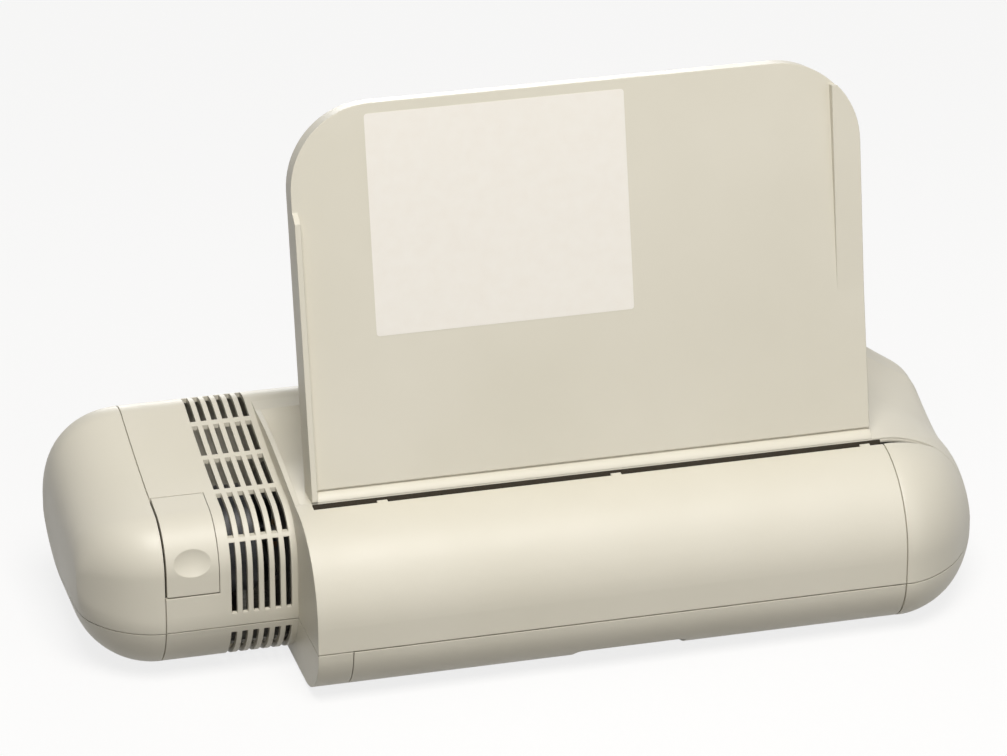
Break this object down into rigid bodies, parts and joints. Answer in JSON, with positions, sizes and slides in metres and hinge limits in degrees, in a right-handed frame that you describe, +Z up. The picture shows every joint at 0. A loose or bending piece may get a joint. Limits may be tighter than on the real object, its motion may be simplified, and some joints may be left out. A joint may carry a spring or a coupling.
{
  "type": "electric hole punch",
  "caption": "Desk-top electric two-hole paper punch: moulded housing, upright paper support, slot, chip tray, start rocker and cam-driven punches inside.",
  "frame": {"origin": "on the desk under the middle of the machine's outline", "axes": "+X along the machine to the user's right, +Y away from the user, +Z up"},
  "size_m": [0.444, 0.1644, 0.2699],
  "materials": {
    "housing_plastic": "semi-gloss moulded ABS",
    "foot_rubber": "moulded rubber",
    "screw_steel": "zinc-plated steel",
    "plate_steel": "zinc-plated sheet steel",
    "tool_steel": "ground steel",
    "bush_bronze": "sintered bronze",
    "gear_plastic": "acetal",
    "switch_plastic": "black nylon",
    "motor_can": "painted steel",
    "board_plastic": "glass-filled board"
  },
  "bodies": {
    "root": {"rear_housing": "housing_plastic", "front_cover": "housing_plastic", "left_cap_upper": "housing_plastic", "left_cap_lower": "housing_plastic", "right_cap_upper": "housing_plastic", "right_cap_lower": "housing_plastic", "base": "housing_plastic", "rubber_feet": "foot_rubber", "housing_screws": "screw_steel", "chassis_screws": "screw_steel", "paper_support": "housing_plastic", "rocker_bracket": "plate_steel", "rocker_pin": "screw_steel", "start_switch": "switch_plastic", "reverse_switch": "switch_plastic", "chassis_plate": "plate_steel", "guide_plate": "plate_steel", "die_plate": "tool_steel", "paper_stop": "plate_steel", "throat_end_blocks": "plate_steel", "throat_bracket": "plate_steel", "bearing_plate_left": "plate_steel", "bearing_plate_right": "plate_steel", "gear_plate": "plate_steel", "plate_spacers": "plate_steel", "camshaft_bushes": "bush_bronze", "motor_bush": "bush_bronze", "idler_pin": "tool_steel", "motor_case": "motor_can", "motor_bracket": "plate_steel", "power_inlet": "switch_plastic", "control_board": "board_plastic", "transformer": "motor_can", "relay": "switch_plastic"},
    "tray": {"chip_tray": "housing_plastic"},
    "rocker": {"start_rocker": "housing_plastic"},
    "camshaft_body": {"camshaft": "tool_steel", "cam_left": "tool_steel", "cam_right": "tool_steel", "cam_gear": "gear_plastic"},
    "punch_left": {"punch_yoke_left": "plate_steel", "punch_pin_left": "tool_steel"},
    "punch_right": {"punch_yoke_right": "plate_steel", "punch_pin_right": "tool_steel"},
    "idler": {"idler_gears": "gear_plastic"},
    "rotor": {"motor_shaft": "tool_steel", "motor_pinion": "tool_steel", "armature": "tool_steel", "cooling_fan": "switch_plastic"}
  },
  "joints": [
    {"name": "tray_slide", "type": "slide", "parent": "root", "child": "tray", "axis": [0, -1, 0], "range_m": [0, 0.036]},
    {"name": "rocker_tilt", "type": "hinge", "parent": "root", "child": "rocker", "pos_m": [-0.1713, -0.029, 0.07], "axis": [1, 0, 0], "range_deg": [-2, 2], "stiffness_Nm_per_rad": 2},
    {"name": "camshaft_turn", "type": "hinge", "parent": "root", "child": "camshaft_body", "pos_m": [0, 0.00734, 0.05172], "axis": [1, 0, 0], "range_deg": [-85, 85]},
    {"name": "punch_left_slide", "type": "slide", "parent": "root", "child": "punch_left", "axis": [0, -0.979, 0.2036], "range_m": [-0.006, 0.006]},
    {"name": "punch_right_slide", "type": "slide", "parent": "root", "child": "punch_right", "axis": [0, -0.979, 0.2036], "range_m": [-0.006, 0.006]},
    {"name": "idler_turn", "type": "hinge", "parent": "root", "child": "idler", "pos_m": [-0.1, 0.04448, 0.0465], "axis": [1, 0, 0], "range_deg": [-234.5, 234.5]},
    {"name": "rotor_turn", "type": "hinge", "parent": "root", "child": "rotor", "pos_m": [-0.14, 0.00734, 0.05172], "axis": [1, 0, 0], "range_deg": [-770, 770]}
  ],
  "couplings": [
    {"joint": "punch_left_slide", "follows": "camshaft_turn", "m_per_rad": 0.0040107},
    {"joint": "punch_right_slide", "follows": "camshaft_turn", "m_per_rad": -0.0040107},
    {"joint": "idler_turn", "follows": "camshaft_turn", "ratio": -2.75},
    {"joint": "rotor_turn", "follows": "camshaft_turn", "ratio": 9.0357}
  ]
}
